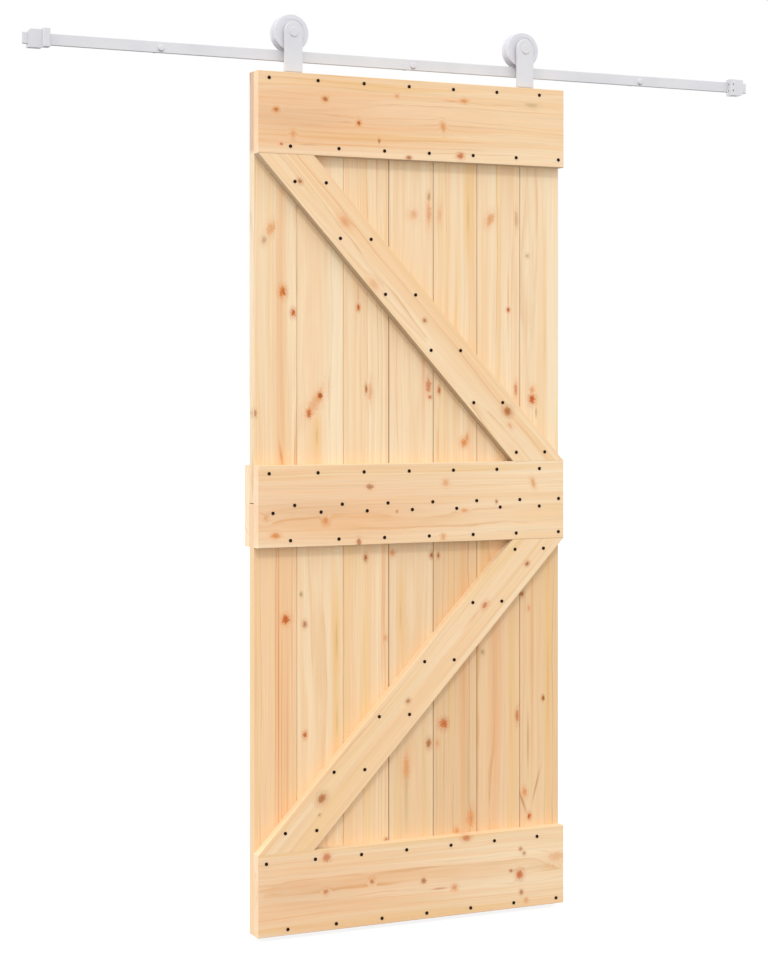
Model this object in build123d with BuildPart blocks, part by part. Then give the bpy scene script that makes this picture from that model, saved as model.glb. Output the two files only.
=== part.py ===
from build123d import *
import os

# A plank door that slides on a flat track. +X is to the right seen from the front, +Y is towards
# the wall and +Z is up. The origin is on the wall face of the middle spacer, on its bolt's axis.
# All sizes are in millimetres.

# Door leaf: tongued boards in two heights, faced with ledges and braces
door_width = 850
door_height = 2100
door_offset = -13.5  # the door hangs a little left of the track's middle
board_count = 7
edge_board_width = 114  # the first and last boards are ripped narrower than the others
board_thickness = 28
board_end_gap = 2
seam_gap = 0.8
seam_chamfer = 1.2
tongue_thickness = 8
tongue_length = 8
tongue_clearance = 0.3
ledge_height = 200
ledge_thickness = 28
middle_ledge_drop = 7  # middle ledges hang this far below the door's half height
back_ledge_thickness = 32
brace_end_length = 148  # the sawn end of a brace, along its ledge
edge_round = 1.5

# Track: a flat bar that bolts stand off the wall on tubular spacers
track_length = 2017
track_height = 28
track_thickness = 6
track_edge_chamfer = 1.5
bolt_count = 5
bolt_pitch = 335
bolt_drop = 2  # the bolts sit below the bar's middle, clear of the wheel flanges
bolt_radius = 4
bolt_shank_radius = 3.6  # rolled threads stand a little proud of the plain shank
bolt_head_radius = 8
bolt_head_height = 5
bolt_head_round = 4
bolt_point = 2
bolt_clearance = 0.3
wall_thread_length = 12
spacer_length = 42
spacer_radius = 6
spacer_chamfer = 0.4

# End stops: a clamp round the bar, with a taller plate that the wheel runs up to
stop_from_end = 12.5
stop_clamp_length = 33
stop_clamp_height = 43
stop_clamp_front_wall = 5
stop_clamp_back_wall = 11
stop_clamp_round = 9
stop_plate_width = 16
stop_plate_height = 44
stop_plate_shift = 2  # from the bar's middle up to the left plate's middle, and down to the right one's
stop_plate_front_reach = 19
stop_slot_clearance = 0.25
stop_edge_round = 1.2
set_screw_radius = 2.5
set_screw_depth = 6
set_screw_pitch = 17

# Hangers: a strap with a foot on the door's top edge, and a grooved wheel on an axle bolt
hanger_inset = 102  # from the door's edge to the middle of the strap
strap_width = 46
strap_thickness = 10
strap_setback = 17.8  # the strap's face behind the door's face
strap_edge_round = 1.5
strap_end_rise = 3  # the round end's centre above the axle
foot_length = 37
foot_thickness = 6
foot_inner_bend = 4
foot_outer_bend = 8
foot_screw_radius = 2.75
foot_screw_head_radius = 5.5
foot_screw_pitch = 20
door_gap = 31.5  # from the bar's underside down to the door's top edge
axle_radius = 6
axle_clearance = 0.2
axle_head_radius = 12
axle_head_height = 2
axle_head_round = 1.8
bush_radius = 10
bush_length = 4.9
nut_radius = 10.4
nut_height = 7
groove_radius = 41.8
groove_side_clearance = 1
groove_flare = 1  # each side of the groove leans out by this much up to the rim
flange_height = 3.2
front_flange = 11
back_flange = 13
wheel_chamfer = 1
wheel_hub_radius = 16
wheel_rim_width = 11
wheel_recess_depth = 0.8
wheel_bore_clearance = 0.1
wheel_end_play = 0.3
rolling_gap = 0.3

# Depths, from the wall forwards
track_back = -spacer_length
track_front = track_back - track_thickness
track_middle = (track_back + track_front) / 2
groove_width = track_thickness + 2 * groove_side_clearance
wheel_front = track_middle - groove_width / 2 - front_flange
wheel_back = track_middle + groove_width / 2 + back_flange
strap_back = wheel_front - wheel_end_play - bush_length
strap_front = strap_back - strap_thickness
door_front = strap_front - strap_setback
board_front = door_front + ledge_thickness
board_back = board_front + board_thickness

# Heights, from the bolt line
track_top = bolt_drop + track_height / 2
track_foot = bolt_drop - track_height / 2
axle_height = track_top + rolling_gap + groove_radius
strap_end = axle_height + strap_end_rise
door_top = track_foot - door_gap
door_foot = door_top - door_height
board_split = door_foot + door_height / 2
middle_ledge_foot = board_split - middle_ledge_drop - ledge_height / 2

# Places along the track
door_left = door_offset - door_width / 2
door_right = door_offset + door_width / 2
board_cover = (door_width - 2 * edge_board_width) / (board_count - 2)
bolt_places = [(i - (bolt_count - 1) / 2) * bolt_pitch for i in range(bolt_count)]
hanger_places = {
    "left": door_left + hanger_inset,
    "right": door_right - hanger_inset,
}
stop_outer = track_length / 2 - stop_from_end
stop_shoulder = stop_outer - stop_clamp_length
stop_inner = stop_shoulder - stop_plate_width

os.makedirs("parts", exist_ok=True)


# Turning section of a stepped bar: one step, from one depth to the next, inside a sketch
def turned_step(start, end, radius):
    with Locations((start, 0)):
        Rectangle(end - start, radius, align=(Align.MIN, Align.MIN))


# A section plane through an axis along Y, with depth across it and radius up it
def turning_plane(x, z):
    return Plane(origin=(x, 0, z), x_dir=(0, 1, 0), z_dir=(1, 0, 0))


# Boards: a tongue on each right edge goes into the groove of the next board's left edge
board_middle = board_front + board_thickness / 2
board_heights = {
    "upper": (board_split + board_end_gap / 2, door_top),
    "lower": (door_foot, board_split - board_end_gap / 2),
}
for level, (foot, top) in board_heights.items():
    for i in range(board_count):
        first = i == 0
        last = i == board_count - 1
        left = door_left if first else door_left + edge_board_width + (i - 1) * board_cover + seam_gap / 2
        right = door_right if last else door_left + edge_board_width + i * board_cover - seam_gap / 2
        with BuildPart() as board:
            with BuildSketch(Plane.XY.offset(foot)) as section:
                with Locations((left, board_front)):
                    Rectangle(right - left, board_thickness, align=(Align.MIN, Align.MIN))
                chamfer(section.vertices(), seam_chamfer)
                if not last:
                    with Locations((right, board_middle)):
                        Rectangle(tongue_length, tongue_thickness, align=(Align.MIN, Align.CENTER))
                if not first:
                    with Locations((left, board_middle)):
                        Rectangle(
                            tongue_length,
                            tongue_thickness + 2 * tongue_clearance,
                            align=(Align.MIN, Align.CENTER),
                            mode=Mode.SUBTRACT,
                        )
            extrude(amount=top - foot)
        name = f"{level}_board_{i + 1}"
        board.part.label = name
        export_step(board.part, f"parts/{name}.step")


# Ledges: three across the front of the boards
front_ledges = {
    "top_ledge": door_top - ledge_height,
    "middle_ledge": middle_ledge_foot,
    "bottom_ledge": door_foot,
}
for name, foot in front_ledges.items():
    with BuildPart() as ledge:
        with BuildSketch(Plane.XZ.offset(-board_front)):
            with Locations((door_offset, foot)):
                Rectangle(door_width, ledge_height, align=(Align.CENTER, Align.MIN))
        extrude(amount=ledge_thickness)
        fillet(ledge.edges().group_by(Axis.Y)[0], edge_round)
    ledge.part.label = name
    export_step(ledge.part, f"parts/{name}.step")

# Back ledge: one behind the boards, over the joint between the upper and lower ones
with BuildPart() as back_ledge:
    with BuildSketch(Plane.XZ.offset(-board_back)):
        with Locations((door_offset, middle_ledge_foot)):
            Rectangle(door_width, ledge_height, align=(Align.CENTER, Align.MIN))
    extrude(amount=-back_ledge_thickness)
    fillet(back_ledge.edges().group_by(Axis.Y)[-1], edge_round)
back_ledge.part.label = "back_ledge"
export_step(back_ledge.part, "parts/back_ledge.step")


# Braces: each runs from a left corner to the right end of the middle ledge
brace_ends = {
    "upper_brace": (door_top - ledge_height, middle_ledge_foot + ledge_height),
    "lower_brace": (door_foot + ledge_height, middle_ledge_foot),
}
for name, (left_end, right_end) in brace_ends.items():
    with BuildPart() as brace:
        with BuildSketch(Plane.XZ.offset(-board_front)):
            Polygon(
                (door_left, left_end),
                (door_left + brace_end_length, left_end),
                (door_right, right_end),
                (door_right - brace_end_length, right_end),
                align=None,
            )
        extrude(amount=ledge_thickness)
        front_edges = brace.edges().group_by(Axis.Y)[0]
        fillet(front_edges.filter_by(Axis.X, reverse=True), edge_round)
    brace.part.label = name
    export_step(brace.part, f"parts/{name}.step")


# Hangers: strap, axle bolt and wheel at each end of the door
for side, x in hanger_places.items():
    axle_plane = turning_plane(x, axle_height)
    axle = Axis((x, 0, axle_height), (0, 1, 0))

    with BuildPart() as strap:
        with BuildSketch(Plane.XZ.offset(-strap_back)):
            with Locations((x, door_top)):
                Rectangle(strap_width, strap_end - door_top, align=(Align.CENTER, Align.MIN))
            with Locations((x, strap_end)):
                Circle(strap_width / 2)
        extrude(amount=strap_thickness)
        with BuildSketch(Plane.XY.offset(door_top)):
            with Locations((x, strap_back)):
                Rectangle(strap_width, foot_length - strap_thickness, align=(Align.CENTER, Align.MIN))
        extrude(amount=foot_thickness)
        cross_edges = strap.edges().filter_by(Axis.X)
        inner_corner = (x, strap_back, door_top + foot_thickness)
        fillet(cross_edges.sort_by_distance(inner_corner)[0], foot_inner_bend)
        cross_edges = strap.edges().filter_by(Axis.X)
        fillet(cross_edges.sort_by_distance((x, strap_front, door_top))[0], foot_outer_bend)
        front_edges = strap.edges().group_by(Axis.Y)[0]
        fillet(front_edges.sort_by(Axis.Z)[1:], strap_edge_round)
        with BuildSketch(Plane.XZ.offset(-strap_back)):
            with Locations((x, axle_height)):
                Circle(axle_radius + axle_clearance)
        extrude(amount=strap_thickness, mode=Mode.SUBTRACT)
        foot_middle = (strap_back + foot_inner_bend + strap_front + foot_length) / 2
        with Locations((x, foot_middle, door_top + foot_thickness)):
            with GridLocations(foot_screw_pitch, 0, 2, 1):
                CounterSinkHole(foot_screw_radius, foot_screw_head_radius)
    strap.part.label = f"{side}_hanger_strap"
    export_step(strap.part, f"parts/{side}_hanger_strap.step")

    nut_front = wheel_back + wheel_end_play
    with BuildPart() as axle_bolt:
        with BuildSketch(axle_plane):
            turned_step(strap_front - axle_head_height, strap_front, axle_head_radius)
            turned_step(strap_front, nut_front, axle_radius)
            turned_step(strap_back, strap_back + bush_length, bush_radius)
        revolve(axis=axle)
        fillet(axle_bolt.edges().sort_by(Axis.Y)[0], axle_head_round)
        with BuildSketch(Plane.XZ.offset(-nut_front)):
            with Locations((x, axle_height)):
                RegularPolygon(nut_radius, 6)
        extrude(amount=-nut_height)
    axle_bolt.part.label = f"{side}_axle_bolt"
    export_step(axle_bolt.part, f"parts/{side}_axle_bolt.step")

    bore_radius = axle_radius + wheel_bore_clearance
    wheel_radius = groove_radius + flange_height
    recess_width = wheel_radius - wheel_rim_width - wheel_hub_radius
    with BuildPart() as wheel:
        with BuildSketch(axle_plane) as section:
            with Locations((wheel_front, bore_radius)):
                Rectangle(wheel_back - wheel_front, wheel_radius - bore_radius, align=(Align.MIN, Align.MIN))
            chamfer(section.vertices().group_by(Axis.Z)[-1], wheel_chamfer)
            with Locations((wheel_front, wheel_hub_radius), (wheel_back - wheel_recess_depth, wheel_hub_radius)):
                Rectangle(wheel_recess_depth, recess_width, align=(Align.MIN, Align.MIN), mode=Mode.SUBTRACT)
            Polygon(
                (track_middle - groove_width / 2, groove_radius),
                (track_middle + groove_width / 2, groove_radius),
                (track_middle + groove_width / 2 + groove_flare, wheel_radius),
                (track_middle - groove_width / 2 - groove_flare, wheel_radius),
                align=None,
                mode=Mode.SUBTRACT,
            )
        revolve(axis=axle)
    wheel.part.label = f"{side}_wheel"
    export_step(wheel.part, f"parts/{side}_wheel.step")


# Track bar, drilled for its bolts
with BuildPart() as track_bar:
    with BuildSketch(Plane.XZ.offset(-track_back)):
        with Locations((0, bolt_drop)):
            Rectangle(track_length, track_height)
        with Locations([(x, 0) for x in bolt_places]):
            Circle(bolt_radius + bolt_clearance, mode=Mode.SUBTRACT)
    extrude(amount=track_thickness)
    chamfer(track_bar.edges().filter_by(Axis.X), track_edge_chamfer)
track_bar.part.label = "track_bar"
export_step(track_bar.part, "parts/track_bar.step")

# Wall bolts through the bar, each inside its spacer
for i, x in enumerate(bolt_places, start=1):
    with BuildPart() as spacer:
        with BuildSketch(Plane.XZ):
            with Locations((x, 0)):
                Circle(spacer_radius)
                Circle(bolt_radius + bolt_clearance, mode=Mode.SUBTRACT)
        extrude(amount=spacer_length)
        rims = spacer.edges().filter_by(GeomType.CIRCLE).sort_by(SortBy.RADIUS)[-2:]
        chamfer(rims, spacer_chamfer)
    spacer.part.label = f"track_spacer_{i}"
    export_step(spacer.part, f"parts/track_spacer_{i}.step")

    with BuildPart() as bolt:
        with BuildSketch(turning_plane(x, 0)):
            turned_step(track_front - bolt_head_height, track_front, bolt_head_radius)
            turned_step(track_front, 0, bolt_shank_radius)
            turned_step(0, wall_thread_length, bolt_radius)
        revolve(axis=Axis((x, 0, 0), (0, 1, 0)))
        fillet(bolt.edges().sort_by(Axis.Y)[0], bolt_head_round)
        chamfer(bolt.edges().sort_by(Axis.Y)[-1], bolt_point)
    bolt.part.label = f"wall_bolt_{i}"
    export_step(bolt.part, f"parts/wall_bolt_{i}.step")


# End stops: the plate faces the door, half round the bar, and the clamp is outside it. The right one is turned
# the other way up. Its set screws face the room, where those of the left one are in the back of its clamp.
clamp_front = track_front - stop_clamp_front_wall
clamp_back = track_back + stop_clamp_back_wall
plate_front = track_front - stop_plate_front_reach
for side, sign in (("left", -1), ("right", 1)):
    clamp_place = (sign * (stop_shoulder + stop_outer) / 2, bolt_drop)
    plate_place = (sign * (stop_inner + stop_shoulder) / 2, bolt_drop - sign * stop_plate_shift)
    with BuildPart() as stop:
        with BuildSketch(Plane.XZ.offset(-clamp_back)):
            with Locations(clamp_place):
                Rectangle(stop_clamp_length, stop_clamp_height)
        extrude(amount=clamp_back - clamp_front)
        round_corner = (sign * stop_outer, clamp_front, bolt_drop - sign * stop_clamp_height / 2)
        fillet(stop.edges().filter_by(Axis.Y).sort_by_distance(round_corner)[0], stop_clamp_round)
        with BuildSketch(Plane.XZ.offset(-track_middle)):
            with Locations(plate_place):
                Rectangle(stop_plate_width, stop_plate_height)
        extrude(amount=track_middle - plate_front)
        fillet(stop.edges().group_by(Axis.Y)[0], stop_edge_round)
        with BuildSketch(Plane.YZ):
            with Locations((track_middle, bolt_drop)):
                Rectangle(
                    track_thickness + 2 * stop_slot_clearance,
                    track_height + 2 * stop_slot_clearance,
                )
        extrude(amount=sign * track_length / 2, mode=Mode.SUBTRACT)
        with BuildSketch(Plane.XZ.offset(-(clamp_back if side == "left" else plate_front))):
            with Locations(clamp_place if side == "left" else plate_place):
                with GridLocations(0, set_screw_pitch, 1, 2):
                    Circle(set_screw_radius)
        extrude(amount=-sign * set_screw_depth, mode=Mode.SUBTRACT)
    stop.part.label = f"{side}_end_stop"
    export_step(stop.part, f"parts/{side}_end_stop.step")
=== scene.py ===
import math
import bpy
from mathutils import Matrix, Vector


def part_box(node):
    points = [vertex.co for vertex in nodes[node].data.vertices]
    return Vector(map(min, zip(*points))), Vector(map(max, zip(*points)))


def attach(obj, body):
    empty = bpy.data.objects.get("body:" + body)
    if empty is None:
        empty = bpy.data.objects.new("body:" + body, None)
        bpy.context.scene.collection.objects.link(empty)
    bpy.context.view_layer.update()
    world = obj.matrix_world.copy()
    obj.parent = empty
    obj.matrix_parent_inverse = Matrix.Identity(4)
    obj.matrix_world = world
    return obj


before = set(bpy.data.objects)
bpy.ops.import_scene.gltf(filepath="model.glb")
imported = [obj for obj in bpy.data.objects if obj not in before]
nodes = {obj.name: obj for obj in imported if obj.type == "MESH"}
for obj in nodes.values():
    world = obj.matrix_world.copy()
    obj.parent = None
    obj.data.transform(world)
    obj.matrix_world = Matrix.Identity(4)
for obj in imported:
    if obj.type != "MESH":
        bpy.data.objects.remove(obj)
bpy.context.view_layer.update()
scene = bpy.context.scene
print("frame loaded,", len(nodes), "solids")

mm = 0.001
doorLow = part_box("bottom_ledge")[0]
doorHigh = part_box("top_ledge")[1]
doorMiddle = (doorLow.x + doorHigh.x) / 2
ledgeFace = doorLow.y  # front of the ledges and braces


# A place on the door's front, from mm right of its middle and mm above its foot
def onDoor(across, height, face=ledgeFace):
    return Vector((doorMiddle + across * mm, face, doorLow.z + height * mm))


# sRGB hex to the linear colour that the shaders take
def linear(hexColour):
    parts = [int(hexColour[i:i + 2], 16) / 255 for i in (1, 3, 5)]
    return tuple(c / 12.92 if c <= 0.04045 else ((c + 0.055) / 1.055) ** 2.4 for c in parts) + (1.0,)


# One node with its settings, socket values and links
def addNode(tree, kind, values=None, links=None, **settings):
    node = tree.nodes.new(kind)
    for key, value in settings.items():
        setattr(node, key, value)
    for key, value in (values or {}).items():
        node.inputs[key].default_value = value
    for key, socket in (links or {}).items():
        tree.links.new(socket, node.inputs[key])
    return node


# A node group with named inputs and outputs
def newGroup(name, kind, inputs, outputs):
    tree = bpy.data.node_groups.new(name, kind)
    for socketName, socketKind in inputs:
        tree.interface.new_socket(socketName, in_out="INPUT", socket_type="NodeSocket" + socketKind)
    for socketName, socketKind in outputs:
        tree.interface.new_socket(socketName, in_out="OUTPUT", socket_type="NodeSocket" + socketKind)
    return tree, addNode(tree, "NodeGroupInput").outputs, addNode(tree, "NodeGroupOutput").inputs


def newMaterial(name):
    material = bpy.data.materials.new(name)
    material.use_nodes = True
    tree = material.node_tree
    tree.nodes.clear()
    shader = addNode(tree, "ShaderNodeBsdfPrincipled")
    addNode(tree, "ShaderNodeOutputMaterial", links={"Surface": shader.outputs[0]})
    return material, tree, shader


# Camera: stands left of the door at eye height, level, with the picture shifted up
photoCamera = {
    "pictureSize": (768, 954),  # px
    "focalLength": 2129.9,  # px
    "horizon": 383.6,  # px from the top
    "turn": math.radians(25.186),  # to the right of straight ahead
    "place": Vector((-2.3398, -4.7872, 1.3417)),  # m, from the middle of the door's foot, at the ledges' face
    "sensor": 36.0,
}
cameraPlace = Vector((doorMiddle, ledgeFace, doorLow.z)) + photoCamera["place"]
camera = bpy.data.objects.new("camera", bpy.data.cameras.new("camera"))
scene.collection.objects.link(camera)
camera.location = cameraPlace
camera.rotation_euler = (math.radians(90), 0, -photoCamera["turn"])
camera.data.sensor_width = photoCamera["sensor"]
camera.data.lens = photoCamera["sensor"] * photoCamera["focalLength"] / photoCamera["pictureSize"][1]
camera.data.shift_y = photoCamera["horizon"] / photoCamera["pictureSize"][1] - 0.5
scene.camera = camera
print("camera set")


# Pine: planed softwood, pale cream with honey and peach bands, thin darker latewood lines along the
# length, and small red-brown knots that the lines bend round
pineColours = {
    "cream": "#FCE5C1",
    "peach": "#F8D1A3",
    "honey": "#F5CE92",
    "line": "#DDA362",
}
knotTones = {
    "red": "#CC681E",
    "orange": "#E2893A",
    "brown": "#B2641D",
    "pink": "#E69E68",
    "grey": "#AC935F",
    "honeyed": "#EEBF7C",
}
pineGrain = {
    "wander": 16.0,  # mm, how far the lines stray sideways
    "wanderWidth": 90.0,  # mm across the grain
    "wanderLength": 650.0,  # mm along the grain
    "unevenYears": 4.5,  # how much the rings' widths vary
    "bandWidth": 17.0,  # mm
    "bandLength": 1500.0,
    "fibreWidth": 3.4,  # mm; real fibres are finer, drawn coarse enough to show
    "fibreLength": 240.0,
    "lineFade": 0.8,  # share of a line's strength that is lost where it fades
    "fadeWidth": 18.0,  # mm
    "lineLength": 240.0,  # mm before a line fades
    "roughness": (0.68, 0.52),  # from the pale wood to the dark lines
    "relief": 0.25,  # mm
}
knotShape = {
    "spread": 1.25,  # from the dark heart that was measured to the knot's whole rim
    "depth": 100000,  # mm, so that a knot goes right through its piece
    "streakFrom": 4,  # a mark more times longer than wide is a streak
    "push": 0.7,  # of the knot's width, how far the lines bend away
    "pushReach": 2.6,  # in sizes of the knot, as are the next two
    "haloReach": 2.7,
    "far": 9.0,  # past any knot's reach
    "haloShare": 0.4,
    "coreShade": (0.82, 1.06),  # of its tone, from the middle outwards
}


def buildPineGroup():
    tree, given, out = newGroup(
        "pineSawn",
        "ShaderNodeTree",
        [("Sawn", "Vector"), ("Pith", "Vector"), ("Ring Width", "Float"), ("Seed", "Float"),
         ("Bend", "Float"), ("Line Strength", "Float"), ("Warmth", "Float"), ("Shade", "Float")],
        [("Color", "Color"), ("Relief", "Float")],
    )
    cream, peach, honey, line = (linear(pineColours[k]) for k in ("cream", "peach", "honey", "line"))

    # the log's own wander, then the distance from its pith
    shift = addNode(tree, "ShaderNodeCombineXYZ", links={axis: given["Seed"] for axis in "XYZ"})
    wanderScale = (1 / pineGrain["wanderWidth"], 1 / pineGrain["wanderWidth"], 1 / pineGrain["wanderLength"])
    stretched = addNode(
        tree, "ShaderNodeVectorMath", {1: wanderScale}, {0: given["Sawn"], 2: shift.outputs[0]},
        operation="MULTIPLY_ADD",
    )
    wander = addNode(
        tree, "ShaderNodeTexNoise", {"Scale": 1.0, "Detail": 4.0, "Roughness": 0.5},
        {"Vector": stretched.outputs[0]},
    )
    place = addNode(
        tree, "ShaderNodeVectorMath", links={0: given["Sawn"], 1: given["Pith"]}, operation="SUBTRACT"
    )
    stray = 2 * pineGrain["wander"]
    place = addNode(
        tree, "ShaderNodeVectorMath", {1: (stray, stray, 0)},
        {0: wander.outputs["Color"], 2: place.outputs[0]},
        operation="MULTIPLY_ADD",
    )
    flat = addNode(tree, "ShaderNodeVectorMath", {1: (1, 1, 0)}, {0: place.outputs[0]}, operation="MULTIPLY")
    radius = addNode(tree, "ShaderNodeVectorMath", links={0: flat.outputs[0]}, operation="LENGTH")
    bent = addNode(
        tree, "ShaderNodeMath", links={0: radius.outputs["Value"], 1: given["Bend"]}, operation="ADD"
    )

    # growth rings: each year pale, then a thin dark line
    years = addNode(
        tree, "ShaderNodeMath", links={0: bent.outputs[0], 1: given["Ring Width"]}, operation="DIVIDE"
    )
    yearly = addNode(tree, "ShaderNodeCombineXYZ", links={"X": years.outputs[0], "Y": given["Seed"]})
    uneven = addNode(
        tree, "ShaderNodeTexNoise", {"Scale": 0.24, "Detail": 1.0}, {"Vector": yearly.outputs[0]}
    )
    unevenYears = addNode(
        tree, "ShaderNodeMath", {1: pineGrain["unevenYears"]},
        {0: uneven.outputs["Fac"], 2: years.outputs[0]}, operation="MULTIPLY_ADD",
    )
    phase = addNode(tree, "ShaderNodeMath", links={0: unevenYears.outputs[0]}, operation="FRACT")
    ring = addNode(tree, "ShaderNodeValToRGB", links={0: phase.outputs[0]})
    ramp = ring.color_ramp
    ramp.elements[0].color = (0, 0, 0, 1)
    ramp.elements[1].position, ramp.elements[1].color = 1.0, (0, 0, 0, 1)
    ramp.elements.new(0.62).color = (0.06, 0.06, 0.06, 1)
    ramp.elements.new(0.9).color = (1, 1, 1, 1)
    year = addNode(tree, "ShaderNodeMath", links={0: unevenYears.outputs[0]}, operation="FLOOR")
    year = addNode(tree, "ShaderNodeMath", links={0: year.outputs[0], 1: given["Seed"]}, operation="ADD")
    good = addNode(tree, "ShaderNodeTexWhiteNoise", links={"W": year.outputs[0]}, noise_dimensions="1D")
    good = addNode(tree, "ShaderNodeMath", {1: 1.8}, {0: good.outputs["Value"]}, operation="POWER")
    ring = addNode(
        tree, "ShaderNodeMath", links={0: ring.outputs[0], 1: good.outputs[0]}, operation="MULTIPLY"
    )

    # lines that fade in and out along the board
    fadeScale = (1 / pineGrain["fadeWidth"], 1 / pineGrain["fadeWidth"], 1 / pineGrain["lineLength"])
    fadeAt = addNode(
        tree, "ShaderNodeVectorMath", {1: fadeScale}, {0: given["Sawn"], 2: shift.outputs[0]},
        operation="MULTIPLY_ADD",
    )
    fade = addNode(tree, "ShaderNodeTexNoise", {"Scale": 1.0, "Detail": 2.0}, {"Vector": fadeAt.outputs[0]})
    fade = addNode(
        tree, "ShaderNodeMapRange", {"From Min": 0.36, "From Max": 0.68, "To Min": 1 - pineGrain["lineFade"]},
        {"Value": fade.outputs["Fac"]}, interpolation_type="SMOOTHSTEP",
    )
    lines = addNode(
        tree, "ShaderNodeMath", links={0: ring.outputs[0], 1: fade.outputs[0]}, operation="MULTIPLY"
    )
    lines = addNode(
        tree, "ShaderNodeMath", links={0: lines.outputs[0], 1: given["Line Strength"]}, operation="MULTIPLY"
    )

    # broad bands of colour that follow the rings
    length = addNode(tree, "ShaderNodeSeparateXYZ", links={0: given["Sawn"]})
    bandAcross = addNode(
        tree, "ShaderNodeMath", {1: pineGrain["bandWidth"]}, {0: bent.outputs[0]}, operation="DIVIDE"
    )
    bandAlong = addNode(
        tree, "ShaderNodeMath", {1: pineGrain["bandLength"]}, {0: length.outputs["Z"]}, operation="DIVIDE"
    )
    bandAt = addNode(
        tree, "ShaderNodeCombineXYZ",
        links={"X": bandAcross.outputs[0], "Y": given["Seed"], "Z": bandAlong.outputs[0]},
    )
    bands = addNode(
        tree, "ShaderNodeTexNoise", {"Scale": 1.0, "Detail": 4.0, "Roughness": 0.66},
        {"Vector": bandAt.outputs[0]},
    )
    peachy = addNode(
        tree, "ShaderNodeMapRange", {"From Min": 0.3, "From Max": 0.68}, {"Value": bands.outputs["Fac"]},
        interpolation_type="SMOOTHSTEP",
    )
    peachy = addNode(
        tree, "ShaderNodeMath", links={0: peachy.outputs[0], 1: given["Warmth"]}, operation="ADD",
        use_clamp=True,
    )
    honeyAt = addNode(
        tree, "ShaderNodeVectorMath", {1: (0.8, 1.0, 1.4), 2: (31.0, 7.0, 3.0)}, {0: bandAt.outputs[0]},
        operation="MULTIPLY_ADD",
    )
    honeyBands = addNode(
        tree, "ShaderNodeTexNoise", {"Scale": 1.0, "Detail": 2.0}, {"Vector": honeyAt.outputs[0]}
    )
    honeyed = addNode(
        tree, "ShaderNodeMapRange", {"From Min": 0.52, "From Max": 0.74, "To Max": 0.75},
        {"Value": honeyBands.outputs["Fac"]}, interpolation_type="SMOOTHSTEP",
    )

    # fibres
    fibreScale = (1 / pineGrain["fibreWidth"], 1 / pineGrain["fibreWidth"], 1 / pineGrain["fibreLength"])
    fibreAt = addNode(
        tree, "ShaderNodeVectorMath", {1: fibreScale}, {0: given["Sawn"]}, operation="MULTIPLY"
    )
    fibres = addNode(
        tree, "ShaderNodeTexNoise", {"Scale": 1.0, "Detail": 2.0}, {"Vector": fibreAt.outputs[0]}
    )
    shade = addNode(
        tree, "ShaderNodeMapRange", {"From Min": 0.25, "From Max": 0.75, "To Min": 0.945, "To Max": 1.04},
        {"Value": fibres.outputs["Fac"]},
    )

    colour = addNode(tree, "ShaderNodeMix", {6: cream, 7: peach}, {0: peachy.outputs[0]}, data_type="RGBA")
    colour = addNode(
        tree, "ShaderNodeMix", {7: honey}, {0: honeyed.outputs[0], 6: colour.outputs[2]}, data_type="RGBA"
    )
    colour = addNode(
        tree, "ShaderNodeMix", {7: line}, {0: lines.outputs[0], 6: colour.outputs[2]}, data_type="RGBA"
    )
    colour = addNode(
        tree, "ShaderNodeVectorMath", links={0: colour.outputs[2], "Scale": shade.outputs[0]},
        operation="SCALE",
    )
    # painted shade on the whole piece, where given
    colour = addNode(
        tree, "ShaderNodeVectorMath", links={0: colour.outputs[0], "Scale": given["Shade"]}, operation="SCALE"
    )
    tree.links.new(colour.outputs[0], out["Color"])
    relief = addNode(
        tree, "ShaderNodeMath", {1: 0.6}, {0: lines.outputs[0], 2: fibres.outputs["Fac"]},
        operation="MULTIPLY_ADD",
    )
    tree.links.new(relief.outputs[0], out["Relief"])
    return tree


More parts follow.
